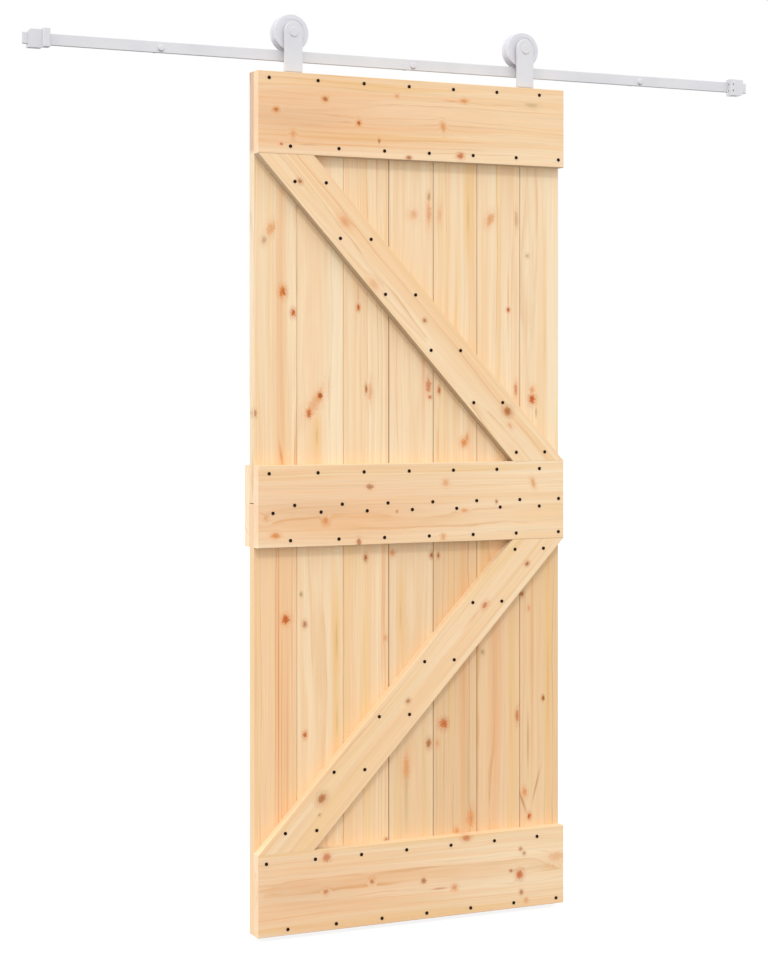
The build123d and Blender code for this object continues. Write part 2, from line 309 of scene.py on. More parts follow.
# One knot, passed from knot to knot: how far the lines bend, how near the knot is, its heart and its halo
def buildKnotGroup():
    carried = [("Bend", "Float"), ("Near", "Float"), ("Heart", "Float"), ("Halo", "Float"), ("Tone", "Color")]
    tree, given, out = newGroup(
        "pineKnot",
        "ShaderNodeTree",
        [("Sawn", "Vector"), ("Ragged", "Float"), ("Place", "Vector"), ("Size", "Vector"), ("Turn", "Vector"),
         ("Knot Tone", "Color"), ("Strength", "Float"), ("Push", "Float"), ("Rough", "Float"),
         ("Rim", "Float"), ("Core", "Float")] + carried,
        carried,
    )
    local = addNode(
        tree, "ShaderNodeMapping",
        links={
            "Vector": given["Sawn"], "Location": given["Place"],
            "Rotation": given["Turn"], "Scale": given["Size"],
        },
        vector_type="TEXTURE",
    )
    away = addNode(tree, "ShaderNodeVectorMath", links={0: local.outputs[0]}, operation="LENGTH")
    away = addNode(
        tree, "ShaderNodeMath", links={0: given["Ragged"], 1: given["Rough"], 2: away.outputs["Value"]},
        operation="MULTIPLY_ADD",
    )
    heart = addNode(
        tree, "ShaderNodeMapRange",
        links={"Value": away.outputs[0], "From Min": given["Rim"], "From Max": given["Core"]},
        interpolation_type="SMOOTHSTEP",
    )
    heart = addNode(
        tree, "ShaderNodeMath", links={0: heart.outputs[0], 1: given["Strength"]}, operation="MULTIPLY"
    )
    halo = addNode(
        tree, "ShaderNodeMapRange", {"From Min": knotShape["haloReach"], "From Max": 0.7},
        {"Value": away.outputs[0]}, interpolation_type="SMOOTHSTEP",
    )
    halo = addNode(
        tree, "ShaderNodeMath", links={0: halo.outputs[0], 1: given["Strength"]}, operation="MULTIPLY"
    )
    push = addNode(
        tree, "ShaderNodeMapRange", {"From Min": knotShape["pushReach"], "From Max": 0.0},
        {"Value": away.outputs[0]}, interpolation_type="SMOOTHSTEP",
    )
    push = addNode(
        tree, "ShaderNodeMath", links={0: push.outputs[0], 1: given["Push"], 2: given["Bend"]},
        operation="MULTIPLY_ADD",
    )
    nearest = addNode(
        tree, "ShaderNodeMath", links={0: given["Near"], 1: away.outputs[0]}, operation="MINIMUM"
    )
    hearts = addNode(
        tree, "ShaderNodeMath", links={0: given["Heart"], 1: heart.outputs[0]}, operation="MAXIMUM"
    )
    halos = addNode(tree, "ShaderNodeMath", links={0: given["Halo"], 1: halo.outputs[0]}, operation="MAXIMUM")
    isNearer = addNode(
        tree, "ShaderNodeMath", links={0: away.outputs[0], 1: given["Near"]}, operation="LESS_THAN"
    )
    tone = addNode(
        tree, "ShaderNodeMix", links={0: isNearer.outputs[0], 6: given["Tone"], 7: given["Knot Tone"]},
        data_type="RGBA",
    )
    results = {
        "Bend": push.outputs[0], "Near": nearest.outputs[0], "Heart": hearts.outputs[0],
        "Halo": halos.outputs[0], "Tone": tone.outputs[2],
    }
    for name, socket in results.items():
        tree.links.new(socket, out[name])
    return tree


pineGroup = buildPineGroup()
knotGroup = buildKnotGroup()

# Each piece of pine: ring width in mm, where the log's heart lay from the middle of its face in mm,
# how strong its lines are, how warm its colour is, its painted shade where it is given, and its knots and
# streaks as (mm right of the door's middle, mm above its foot, half its width across the grain and half its
# length along it in mm, degrees turned, tone, strength)
pinePieces = {
    "top_ledge": {"ring": 5.6, "pith": (30, 75), "lines": 0.95, "warmth": 0, "marks": [
        (-378, 2007, 5, 7, 0, "red", 0.92), (-248, 2039, 6, 7, 20, "brown", 0.8),
        (-157, 1985, 6, 5, 0, "brown", 0.98), (-53, 2058, 4, 5, 0, "pink", 0.8),
        (-333, 1949, 9, 6, 0, "orange", 0.55), (-364, 1924, 3, 4, 0, "red", 0.8),
        (-102, 1944, 5, 3, 0, "brown", 0.8), (-20, 1906, 4, 6, 0, "brown", 0.8),
        (135, 2056, 5, 9, 0, "orange", 0.65), (76, 1987, 11, 6, 15, "orange", 0.6),
        (125, 1917, 6, 8, 0, "red", 0.8), (331, 2056, 5, 14, 0, "grey", 0.3),
        (-192, 1986, 3, 24, 0, "orange", 0.4), (101, 2054, 2, 22, 0, "orange", 0.4),
        (-294, 1925, 2, 30, 0, "brown", 0.34), (-330, 1990, 75, 330, 0, "orange", 0.28),
    ]},
    "middle_ledge": {"ring": 5.6, "pith": (-25, 80), "lines": 0.75, "warmth": -0.05, "marks": [
        (-127, 1086, 6, 8, 0, "brown", 0.69), (-247, 1005, 8, 7, 0, "orange", 0.75),
        (-379, 972, 6, 10, 0, "orange", 0.8), (-157, 950, 8, 5, 0, "brown", 0.75),
        (-404, 1015, 8, 8, 0, "orange", 0.4), (83, 1092, 8, 8, 0, "pink", 0.57),
        (335, 1087, 12, 5, 20, "orange", 0.5), (136, 1021, 4, 9, 0, "orange", 0.6),
        (228, 1041, 4, 3, 0, "brown", 0.75), (76, 956, 7, 6, 0, "orange", 0.45),
        (-53, 1023, 4, 3, 0, "brown", 0.57), (-288, 1033, 70, 330, 0, "orange", 0.24),
    ]},
    "bottom_ledge": {"ring": 6.0, "pith": (24, 85), "lines": 0.7, "warmth": 0, "marks": [
        (-244, 179, 8, 9, 0, "red", 0.69), (-246, 96, 6, 6, 0, "brown", 0.75),
        (-121, 108, 6, 6, 0, "brown", 0.69), (142, 193, 7, 9, 0, "red", 0.63),
        (21, 96, 6, 6, 0, "brown", 0.75), (65, 72, 2.5, 18, 0, "red", 0.52),
        (108, 71, 7, 7, 0, "pink", 0.75), (295, 85, 9, 8, 0, "red", 0.86),
        (270, 97, 3, 4, 0, "brown", 0.69), (298, 150, 4, 4, 0, "brown", 0.57),
        (308, 138, 4, 4, 0, "brown", 0.57), (300, 39, 5, 4, 0, "brown", 0.69),
        (314, 17, 6, 5, 0, "orange", 0.4), (402, 122, 10, 20, 0, "orange", 0.35),
        (-300, 90, 75, 330, 0, "orange", 0.22),
    ]},
    "back_ledge": {"ring": 10.2, "pith": (35, -80), "lines": 0.85, "warmth": 0.1, "marks": [
        (-315, 1043, 7, 8, 0, "brown", 0.8), (-78, 1082, 6, 9, 0, "orange", 0.6),
        (42, 989, 8, 7, 0, "red", 0.8), (296, 1049, 6, 6, 0, "brown", 0.69),
    ]},
    "upper_brace": {"ring": 10.2, "pith": (45, 60), "lines": 0.85, "warmth": 0.25, "marks": [
        (-315, 1835, 4, 5, 0, "brown", 0.8), (-195, 1740, 8, 14, 0, "pink", 0.6),
        (-116, 1589, 8, 14, 0, "pink", 0.34), (24, 1500, 4, 4, 0, "brown", 0.75),
        (260, 1271, 8, 9, 0, "brown", 0.86), (267, 1235, 4, 8, 0, "pink", 0.57),
    ]},
    "lower_brace": {"ring": 8.9, "pith": (-50, 55), "lines": 0.56, "warmth": 0.32, "marks": [
        (317, 880, 4, 5, 0, "brown", 0.86), (194, 779, 5, 8, 0, "red", 0.69),
        (-22, 549, 4, 5, 0, "brown", 0.69), (-257, 325, 8, 10, 0, "brown", 0.8),
        (-263, 285, 2.5, 3, 0, "grey", 0.6), (163, 750, 3, 30, 0, "orange", 0.3),
    ]},
    "upper_board_1": {"ring": 10.2, "pith": (70, 35), "lines": 0.95, "warmth": 0.0, "marks": [
        (-380, 1719, 8, 15, -25, "orange", 0.46), (-398, 1691, 5, 8, 0, "brown", 0.42),
        (-350, 1566, 7, 11, 0, "red", 0.98), (-321, 1515, 5, 7, 0, "red", 1),
        (-421, 1269, 3, 6, 0, "brown", 0.57), (-353, 1165, 3, 26, 8, "orange", 0.65),
        (-353, 1473, 9, 420, 0, "orange", 0.16),
    ]},
    "upper_board_2": {"ring": 11.5, "pith": (-10, 80), "lines": 0.57, "warmth": -0.2, "marks": [
        (-250, 1312, 6, 8, 0, "brown", 1), (-279, 1269, 6, 10, 0, "red", 0.86),
        (-265, 1292, 11, 32, -32, "orange", 0.42), (-258, 1213, 9, 50, 0, "honeyed", 0.6),
    ]},
    "upper_board_3": {"ring": 8.9, "pith": (-80, 40), "lines": 0.8, "warmth": -0.1, "marks": [
        (-146, 1531, 3.5, 6, 0, "red", 1), (-146, 1559, 2, 26, 0, "orange", 0.35),
        (-124, 1328, 3, 9, 0, "brown", 0.8), (-114, 1321, 6, 20, 0, "pink", 0.46),
    ]},
    "upper_board_4": {"ring": 10.2, "pith": (25, 70), "lines": 0.6, "warmth": -0.15, "marks": [
        (7, 1767, 9, 12, 0, "pink", 0.42), (8, 1769, 3, 4, 0, "brown", 0.5),
        (50, 1813, 4, 8, 0, "brown", 0.46), (50, 1770, 6, 23, 0, "pink", 0.6),
        (48, 1336, 6, 15, 0, "red", 0.63), (53, 1308, 4, 4, 0, "red", 0.75),
        (36, 1401, 4, 130, 0, "pink", 0.34),
    ]},
    "upper_board_5": {"ring": 8.9, "pith": (-60, 50), "lines": 0.8, "warmth": 0.05, "marks": [
        (80, 1768, 5, 18, 0, "pink", 0.36), (78, 1325, 3, 7, 0, "red", 0.86),
        (149, 1191, 7, 8, 0, "orange", 0.8), (158, 1203, 5, 9, 0, "orange", 0.5),
        (149, 1191, 2.5, 3, 0, "red", 0.8), (161, 1771, 8, 110, 0, "honeyed", 0.6),
    ]},
    "upper_board_6": {"ring": 10.2, "pith": (90, 30), "lines": 0.8, "warmth": -0.15, "marks": [
        (225, 1762, 8, 14, -30, "orange", 0.52), (277, 1531, 3.5, 5, 0, "red", 1),
        (277, 1567, 2, 60, 0, "orange", 0.4), (301, 1763, 4, 16, 0, "brown", 0.32),
        (299, 1327, 3.5, 12, 0, "red", 0.63), (277, 1839, 10, 160, 0, "orange", 0.16),
    ]},
    "upper_board_7": {"ring": 10.2, "pith": (-15, 75), "lines": 0.53, "warmth": -0.4, "marks": [
        (333, 1671, 4, 4, 0, "grey", 0.45), (347, 1302, 7, 9, 0, "red", 1),
        (347, 1326, 6, 7, 0, "pink", 0.69), (359, 1268, 2, 10, 0, "grey", 0.6),
        (385, 1455, 5, 200, 0, "honeyed", 0.3),
    ]},
    "lower_board_1": {"ring": 8.3, "pith": (75, 30), "lines": 1, "warmth": 0.68, "marks": [
        (-341, 765, 8, 9, 0, "red", 1), (-360, 600, 1.7, 330, 0, "orange", 0.75),
        (-367, 640, 1.5, 280, 0, "orange", 0.45), (-352, 480, 1.5, 260, 0, "orange", 0.45),
        (-336, 420, 1.5, 240, 0, "orange", 0.4), (-325, 700, 1.4, 220, 0, "orange", 0.35),
        (-342, 480, 14, 330, 0, "orange", 0.16), (-419, 622, 5, 300, 0, "honeyed", 0.3),
    ]},
    "lower_board_2": {"ring": 11.5, "pith": (5, 85), "lines": 0.39, "warmth": 0.04, "marks": [
        (-300, 825, 3, 4, 0, "grey", 0.75), (-290, 751, 4.5, 6, 0, "brown", 0.69),
        (-290, 479, 4, 6, 0, "red", 0.92), (-205, 708, 8, 120, 0, "honeyed", 0.75),
        (-204, 510, 7, 100, 0, "honeyed", 0.6),
    ]},
    "lower_board_3": {"ring": 8.9, "pith": (-70, 45), "lines": 0.85, "warmth": 0.26, "marks": [
        (-126, 908, 4, 6, 0, "brown", 0.92), (-72, 706, 4, 8, 0, "pink", 0.63),
        (-70, 202, 4, 4, 0, "brown", 0.63), (-78, 801, 4, 160, 0, "pink", 0.34),
    ]},
    "lower_board_4": {"ring": 10.2, "pith": (10, 70), "lines": 0.95, "warmth": 0.14, "shade": 0.945, "marks": [
        (-52, 918, 6, 6, 0, "orange", 0.65), (57, 909, 4, 6, 0, "brown", 0.92),
        (-14, 377, 7, 26, 0, "orange", 0.5), (49, 434, 5, 9, 0, "brown", 0.8),
        (-30, 764, 7, 90, 0, "honeyed", 0.55), (-14, 321, 4, 70, 0, "grey", 0.25),
    ]},
    "lower_board_5": {"ring": 8.9, "pith": (85, 35), "lines": 1.2, "warmth": 1.0, "shade": 0.9, "marks": [
        (76, 907, 3, 5, 0, "brown", 0.86), (92, 481, 9, 9, 0, "red", 0.86),
        (73, 433, 4, 7, 0, "pink", 0.69), (168, 235, 9, 17, 0, "orange", 0.5),
        (129, 206, 5, 7, 0, "orange", 0.55), (161, 358, 4, 120, 0, "grey", 0.25),
        (148, 600, 9, 320, 0, "orange", 0.24), (112, 700, 3, 240, 0, "honeyed", 0.5),
    ]},
    "lower_board_6": {"ring": 10.2, "pith": (-30, 70), "lines": 0.8, "warmth": 0.66, "shade": 0.95, "marks": [
        (203, 656, 4, 5, 0, "grey", 0.55), (303, 487, 4, 12, 0, "red", 0.69),
        (240, 560, 13, 330, 0, "orange", 0.24), (285, 480, 4, 200, 0, "honeyed", 0.5),
    ]},
    "lower_board_7": {"ring": 8.9, "pith": (-5, 60), "lines": 1.1, "warmth": 0.72, "shade": 0.94, "marks": [
        (317, 800, 4, 5, 0, "brown", 0.86), (338, 762, 4, 6, 0, "pink", 0.63),
        (380, 528, 3.5, 5, 0, "brown", 1), (325, 289, 6, 9, 0, "orange", 0.55),
        (339, 226, 4, 6, 0, "red", 1), (318, 269, 2.5, 26, 20, "brown", 0.52),
        (359, 304, 2, 30, -15, "brown", 0.46), (335, 422, 2, 50, 0, "brown", 0.4),
        (394, 560, 7, 300, 0, "honeyed", 0.6), (347, 640, 3, 220, 0, "orange", 0.3),
    ]},
}
braceEnd = 0.148  # m, the sawn end of a brace along its ledge
seams = {
    # painted shade in each joint between boards, how dark, left to right
    "upper": (0.0, 0.05, 0.45, 0.35, 0.2, 0.2),
    "lower": (0.0, 0.0, 0.45, 0.35, 0.25, 0.2),
    "width": 2.0,  # mm on each board
    "tongue": 8.0,  # mm
    "shade": (0.3, 0.2, 0.12, 1),
}


# The turn about Y that lays a piece's grain along the pattern's own length
def grainTurn(name):
    if name.endswith("ledge"):
        return math.radians(90)
    if name.endswith("brace"):
        low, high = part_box(name)
        run, rise = high.x - low.x - braceEnd, high.z - low.z
        return math.atan2(-run, -rise if name == "upper_brace" else rise)
    return 0.0


# Faces beside the planed fronts: painted shade on those that look down and on the outer edge behind the top
# ledge, painted light on those that look up and on the ledges' left ends, and a greyer outer door edge
edgeTintsAndPaintedLight = {
    # painted shade on the faces that look down
    "under": (0.54, 0.57, 0.62, 1),
    "boardEnd": (0.93, 0.98, 1.06, 1),  # the outer edge of the first boards
    # painted shade on that edge where it stands behind the top ledge
    "boardEndTop": (0.77, 0.68, 0.68, 1),  # that edge behind the top ledge
    "topFade": 12,  # mm above the ledge's foot to reach that shade
    # painted light on the faces that look up
    "upper": "#FAE2BC",
    "paintedTopLightShare": 0.6,  # of that colour on the edges that look up
    # painted light on the ledges' left ends
    "paintedLeftEndLight": "#FFE9CE",
    "paintedLeftEndShare": 0.3,  # of that colour on the ledges' left ends
}


# The knots and streaks of one piece, each passing on those before it: the last carries them all
def addKnots(tree, marks, toSawn, face, sawn):
    noise = addNode(tree, "ShaderNodeTexNoise", {"Scale": 0.3, "Detail": 3.0}, {"Vector": sawn})
    ragged = addNode(
        tree, "ShaderNodeMapRange", {"From Min": 0.25, "From Max": 0.75, "To Min": -0.45, "To Max": 0.45},
        {"Value": noise.outputs["Fac"]},
    ).outputs[0]
    carried = {}
    for across, height, wide, long, lean, tone, strength in marks:
        isStreak = long > knotShape["streakFrom"] * wide
        spread = 1 if isStreak else knotShape["spread"]
        values = {
            "Place": tuple(toSawn @ onDoor(across, height, face)),
            "Size": (wide * spread, knotShape["depth"], long * spread),
            "Turn": (0, math.radians(-lean), 0),
            "Knot Tone": linear(knotTones[tone]),
            "Strength": strength,
            "Push": 0 if isStreak else knotShape["push"] * wide,
            "Rough": 0.1 if isStreak else 1,
            "Rim": 1.9 if isStreak else 1.15,
            "Core": 0 if isStreak else 0.6,
            "Near": knotShape["far"],
        }
        links = {"Sawn": sawn, "Ragged": ragged, **carried}
        knot = addNode(tree, "ShaderNodeGroup", values, links, node_tree=knotGroup)
        carried = {key: knot.outputs[key] for key in ("Bend", "Near", "Heart", "Halo", "Tone")}
    return carried


# Painted shade in the joints along a board's two edges
def paintShadeInSeams(tree, name, sawn, colour):
    low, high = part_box(name)
    level, _, number = name.split("_")
    joints = (0,) + seams[level] + (0,)
    tongue = seams["tongue"] * (int(number) <= len(seams[level]))
    leftEdge = (low.x * 1000, 1, joints[int(number) - 1])
    rightEdge = (high.x * 1000 - tongue, -1, joints[int(number)])
    across = addNode(tree, "ShaderNodeSeparateXYZ", links={0: sawn}).outputs["X"]
    for edge, inward, strength in (leftEdge, rightEdge):
        width = inward * seams["width"]
        dark = addNode(
            tree, "ShaderNodeMapRange",
            {"From Min": edge + width, "From Max": edge + width / 3, "To Max": strength},
            {"Value": across}, interpolation_type="SMOOTHSTEP",
        )
        colour = addNode(
            tree, "ShaderNodeMix", {7: seams["shade"]}, {0: dark.outputs[0], 6: colour.outputs[2]},
            data_type="RGBA",
        )
    return colour


# Painted light and shade on the faces beside the fronts, and the outer edge's grey, by the way each face looks
def paintEdgeTintsAndLight(tree, name, sawn, colour):
    normal = addNode(tree, "ShaderNodeNewGeometry").outputs["Normal"]
    facing = addNode(tree, "ShaderNodeSeparateXYZ", links={0: normal})
    edgeFaces = [
        # painted shade under, painted light on top
        ("Z", -1, edgeTintsAndPaintedLight["under"], 1, "MULTIPLY"),
        ("Z", 1, linear(edgeTintsAndPaintedLight["upper"]), edgeTintsAndPaintedLight["paintedTopLightShare"], "MIX"),
    ]
    if name.endswith("board_1"):
        edgeFaces.append(("X", -1, edgeTintsAndPaintedLight["boardEnd"], 1, "MULTIPLY"))
    if name.endswith("ledge"):
        edgeFaces.append(("X", -1, linear(edgeTintsAndPaintedLight["paintedLeftEndLight"]), edgeTintsAndPaintedLight["paintedLeftEndShare"], "MIX"))
    shares = {}
    for axis, sign, edgeColour, most, blend in edgeFaces:
        share = addNode(
            tree, "ShaderNodeMapRange", {"From Min": 0.35 * sign, "From Max": 0.65 * sign, "To Max": most},
            {"Value": facing.outputs[axis]},
        ).outputs[0]
        colour = addNode(
            tree, "ShaderNodeMix", {7: edgeColour}, {0: share, 6: colour.outputs[2]},
            data_type="RGBA", blend_type=blend,
        )
        shares[axis, sign] = share
    # painted shade on the outer edge behind the top ledge
    if name == "upper_board_1":
        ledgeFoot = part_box("top_ledge")[0].z * 1000
        height = addNode(tree, "ShaderNodeSeparateXYZ", links={0: sawn}).outputs["Z"]
        behind = addNode(
            tree, "ShaderNodeMapRange",
            {"From Min": ledgeFoot, "From Max": ledgeFoot + edgeTintsAndPaintedLight["topFade"]}, {"Value": height},
        )
        share = addNode(
            tree, "ShaderNodeMath", links={0: shares["X", -1], 1: behind.outputs[0]}, operation="MULTIPLY"
        )
        colour = addNode(
            tree, "ShaderNodeMix", {7: edgeTintsAndPaintedLight["boardEndTop"]}, {0: share.outputs[0], 6: colour.outputs[2]},
            data_type="RGBA", blend_type="MULTIPLY",
        )
    return colour


def pineMaterial(name, look, seed):
    material, tree, shader = newMaterial("planedPine_" + name)
    low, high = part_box(name)
    turn = grainTurn(name)
    toSawn = Matrix.Rotation(turn, 3, "Y") * 1000  # mm in the sawn board's own directions
    middle = toSawn @ ((low + high) / 2)
    face = high.y if name == "back_ledge" else low.y

    where = addNode(tree, "ShaderNodeTexCoord")
    sawn = addNode(
        tree, "ShaderNodeMapping", {"Rotation": (0, turn, 0), "Scale": (1000, 1000, 1000)},
        {"Vector": where.outputs["Object"]},
    ).outputs[0]
    knots = addKnots(tree, look["marks"], toSawn, low.y, sawn)
    values = {
        "Pith": (middle.x + look["pith"][0], face * 1000 + look["pith"][1], 0),
        "Ring Width": look["ring"],
        "Seed": seed,
        "Line Strength": look["lines"],
        "Warmth": look["warmth"],
        "Shade": look.get("shade", 1.0),
    }
    pine = addNode(
        tree, "ShaderNodeGroup", values, {"Sawn": sawn, "Bend": knots["Bend"]}, node_tree=pineGroup
    )

    haloShare = addNode(
        tree, "ShaderNodeMath", {1: knotShape["haloShare"]}, {0: knots["Halo"]}, operation="MULTIPLY"
    )
    colour = addNode(
        tree, "ShaderNodeMix",
        links={0: haloShare.outputs[0], 6: pine.outputs["Color"], 7: knots["Tone"]}, data_type="RGBA",
    )
    inner, outer = knotShape["coreShade"]
    core = addNode(
        tree, "ShaderNodeMapRange", {"From Min": 0.1, "From Max": 0.6, "To Min": inner, "To Max": outer},
        {"Value": knots["Near"]}, interpolation_type="SMOOTHSTEP",
    )
    heartTone = addNode(
        tree, "ShaderNodeVectorMath", links={0: knots["Tone"], "Scale": core.outputs[0]}, operation="SCALE"
    )
    colour = addNode(
        tree, "ShaderNodeMix",
        links={0: knots["Heart"], 6: colour.outputs[2], 7: heartTone.outputs[0]}, data_type="RGBA",
    )
    if "board" in name:
        colour = paintShadeInSeams(tree, name, sawn, colour)
    colour = paintEdgeTintsAndLight(tree, name, sawn, colour)
    tree.links.new(colour.outputs[2], shader.inputs["Base Color"])

    relief = pine.outputs["Relief"]
    pale, dark = pineGrain["roughness"]
    rough = addNode(
        tree, "ShaderNodeMapRange", {"From Max": 1.2, "To Min": pale, "To Max": dark}, {"Value": relief}
    )
    tree.links.new(rough.outputs[0], shader.inputs["Roughness"])
    bump = addNode(
        tree, "ShaderNodeBump", {"Strength": 0.35, "Distance": pineGrain["relief"] * mm}, {"Height": relief}
    )
    tree.links.new(bump.outputs[0], shader.inputs["Normal"])
    shader.inputs["IOR"].default_value = 1.5
    return material


for index, (name, look) in enumerate(pinePieces.items()):
    nodes[name].material_slots[0].material = pineMaterial(name, look, 1.7 + 2.3 * index)
print("pine laid on", len(pinePieces), "pieces")


# Powder-coated steel: baked white polyester powder, satin, with a fine orange-peel skin
powderCoat = {
    "colour": "#E2E2E6",
    "shade": "#D8D8DE",
    "peel": 2.5,  # mm from crest to crest; coarser than the real 1 mm so that it shows
    "roughness": (0.36, 0.5),
    "fixingRoughness": (0.3, 0.42),  # bolts and screws are smoother
    "relief": 0.03,  # mm
}
# Painted shade: white metal and nylon darker on the faces that look down and left
paintedWhiteShade = {  # how much of its colour white metal or nylon keeps on faces that look down or left
    "under": (0.5, 0.5, 0.52, 1),
    "left": (0.98, 0.98, 0.98, 1),
}


# Painted shade on white metal and nylon
# Darkens the faces that look down and left, as the photo shows them
def paintShadeOnWhiteFaces(tree, colour):
    facing = addNode(
        tree, "ShaderNodeSeparateXYZ", links={0: addNode(tree, "ShaderNodeNewGeometry").outputs["Normal"]}
    )
    for axis, face in (("Z", "under"), ("X", "left")):
        share = addNode(
            tree, "ShaderNodeMapRange", {"From Min": -0.3, "From Max": -0.8}, {"Value": facing.outputs[axis]}
        )
        colour = addNode(
            tree, "ShaderNodeMix", {7: paintedWhiteShade[face]}, {0: share.outputs[0], 6: colour.outputs[2]},
            data_type="RGBA", blend_type="MULTIPLY",
        )
    return colour.outputs[2]


def powderCoatMaterial(name, roughness):
    material, tree, shader = newMaterial(name)
    where = addNode(tree, "ShaderNodeTexCoord").outputs["Object"]
    cloud = addNode(tree, "ShaderNodeTexNoise", {"Scale": 12.0, "Detail": 3.0}, {"Vector": where})
    share = addNode(
        tree, "ShaderNodeMapRange", {"From Min": 0.35, "From Max": 0.7, "To Max": 0.6},
        {"Value": cloud.outputs["Fac"]},
    )
    colour = addNode(
        tree, "ShaderNodeMix", {6: linear(powderCoat["colour"]), 7: linear(powderCoat["shade"])},
        {0: share.outputs[0]}, data_type="RGBA",
    )
    tree.links.new(paintShadeOnWhiteFaces(tree, colour), shader.inputs["Base Color"])
    peel = addNode(
        tree, "ShaderNodeTexNoise", {"Scale": 1 / (powderCoat["peel"] * mm), "Detail": 1.0}, {"Vector": where}
    )
    gloss = addNode(
        tree, "ShaderNodeMapRange",
        {"From Min": 0.3, "From Max": 0.7, "To Min": roughness[0], "To Max": roughness[1]},
        {"Value": cloud.outputs["Fac"]},
    )
    tree.links.new(gloss.outputs[0], shader.inputs["Roughness"])
    bump = addNode(
        tree, "ShaderNodeBump", {"Strength": 0.5, "Distance": powderCoat["relief"] * mm},
        {"Height": peel.outputs["Fac"]},
    )
    tree.links.new(bump.outputs[0], shader.inputs["Normal"])
    shader.inputs["IOR"].default_value = 1.5
    return material


coatedSteel = powderCoatMaterial("whitePowderCoatedSteel", powderCoat["roughness"])
coatedFixings = powderCoatMaterial("whitePowderCoatedFixings", powderCoat["fixingRoughness"])

# Moulded nylon: white, slightly waxy, with the fine turning rings of its mould round the axle
mouldedNylon = {
    "colour": "#E6E6EC",
    "shade": "#DADAE1",
    "ringPitch": 1.6,  # mm; coarser than the real marks so that they show
    "ringShare": 0.12,  # how far the rings shade the colour
    "roughness": (0.42, 0.55),
    "relief": 0.04,  # mm
}


def nylonMaterial():
    material, tree, shader = newMaterial("mouldedWhiteNylon")
    low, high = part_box("left_wheel")
    axle = (low + high) / 2
    where = addNode(tree, "ShaderNodeTexCoord").outputs["Object"]
    parts = addNode(tree, "ShaderNodeSeparateXYZ", links={0: where})
    fromMiddle = addNode(
        tree, "ShaderNodeMath", {1: doorMiddle}, {0: parts.outputs["X"]}, operation="SUBTRACT"
    )
    side = addNode(tree, "ShaderNodeMath", links={0: fromMiddle.outputs[0]}, operation="ABSOLUTE")
    across = addNode(
        tree, "ShaderNodeMath", {1: doorMiddle - axle.x}, {0: side.outputs[0]}, operation="SUBTRACT"
    )
    up = addNode(tree, "ShaderNodeMath", {1: axle.z}, {0: parts.outputs["Z"]}, operation="SUBTRACT")
    flat = addNode(tree, "ShaderNodeCombineXYZ", links={"X": across.outputs[0], "Y": up.outputs[0]})
    radius = addNode(tree, "ShaderNodeVectorMath", links={0: flat.outputs[0]}, operation="LENGTH")
    rings = addNode(
        tree, "ShaderNodeMath", {1: 2 * math.pi / (mouldedNylon["ringPitch"] * mm)},
        {0: radius.outputs["Value"]},
        operation="MULTIPLY",
    )
    rings = addNode(tree, "ShaderNodeMath", links={0: rings.outputs[0]}, operation="SINE")
    cloud = addNode(tree, "ShaderNodeTexNoise", {"Scale": 40.0, "Detail": 2.0}, {"Vector": where})
    share = addNode(
        tree, "ShaderNodeMath", {1: mouldedNylon["ringShare"]}, {0: rings.outputs[0]}, operation="MULTIPLY"
    )
    share = addNode(
        tree, "ShaderNodeMath", links={0: share.outputs[0], 1: cloud.outputs["Fac"]}, operation="ADD",
        use_clamp=True,
    )
    colour = addNode(
        tree, "ShaderNodeMix", {6: linear(mouldedNylon["colour"]), 7: linear(mouldedNylon["shade"])},
        {0: share.outputs[0]}, data_type="RGBA",
    )
    tree.links.new(paintShadeOnWhiteFaces(tree, colour), shader.inputs["Base Color"])
    smooth, dull = mouldedNylon["roughness"]
    gloss = addNode(
        tree, "ShaderNodeMapRange", {"From Min": 0.3, "From Max": 0.7, "To Min": smooth, "To Max": dull},
        {"Value": cloud.outputs["Fac"]},
    )
    tree.links.new(gloss.outputs[0], shader.inputs["Roughness"])
    bump = addNode(
        tree, "ShaderNodeBump", {"Strength": 0.4, "Distance": mouldedNylon["relief"] * mm},
        {"Height": rings.outputs[0]},
    )
    tree.links.new(bump.outputs[0], shader.inputs["Normal"])
    shader.inputs["IOR"].default_value = 1.53
    return material


nylon = nylonMaterial()
for name, node in nodes.items():
    if name.endswith("_wheel"):
        node.material_slots[0].material = nylon
    elif "bolt" in name:
        node.material_slots[0].material = coatedFixings
    elif name not in pinePieces:
        node.material_slots[0].material = coatedSteel
print("white metal and nylon finished")


# Steel of the small screws: one dark phosphated, one zinc plated, both a little uneven
def screwSteel(name, hexColour, hexShade, metallic, roughness):
    material, tree, shader = newMaterial(name)
    where = addNode(tree, "ShaderNodeTexCoord").outputs["Object"]
    cloud = addNode(tree, "ShaderNodeTexNoise", {"Scale": 400.0, "Detail": 2.0}, {"Vector": where})
    colour = addNode(
        tree, "ShaderNodeMix", {6: linear(hexColour), 7: linear(hexShade)}, {0: cloud.outputs["Fac"]},
        data_type="RGBA",
    )
    tree.links.new(colour.outputs[2], shader.inputs["Base Color"])
    gloss = addNode(
        tree, "ShaderNodeMapRange",
        {"From Min": 0.3, "From Max": 0.7, "To Min": roughness[0], "To Max": roughness[1]},
        {"Value": cloud.outputs["Fac"]},
    )
    tree.links.new(gloss.outputs[0], shader.inputs["Roughness"])
    shader.inputs["Metallic"].default_value = metallic
    return material


blackPhosphate = screwSteel("blackPhosphatedSteel", "#180C05", "#2A1A0F", 0.0, (0.6, 0.75))
blackPhosphate.node_tree.nodes["Principled BSDF"].inputs["Specular IOR Level"].default_value = 0.2
zincPlate = screwSteel("zincPlatedSteel", "#A9A9AE", "#8D8D93", 1.0, (0.3, 0.45))


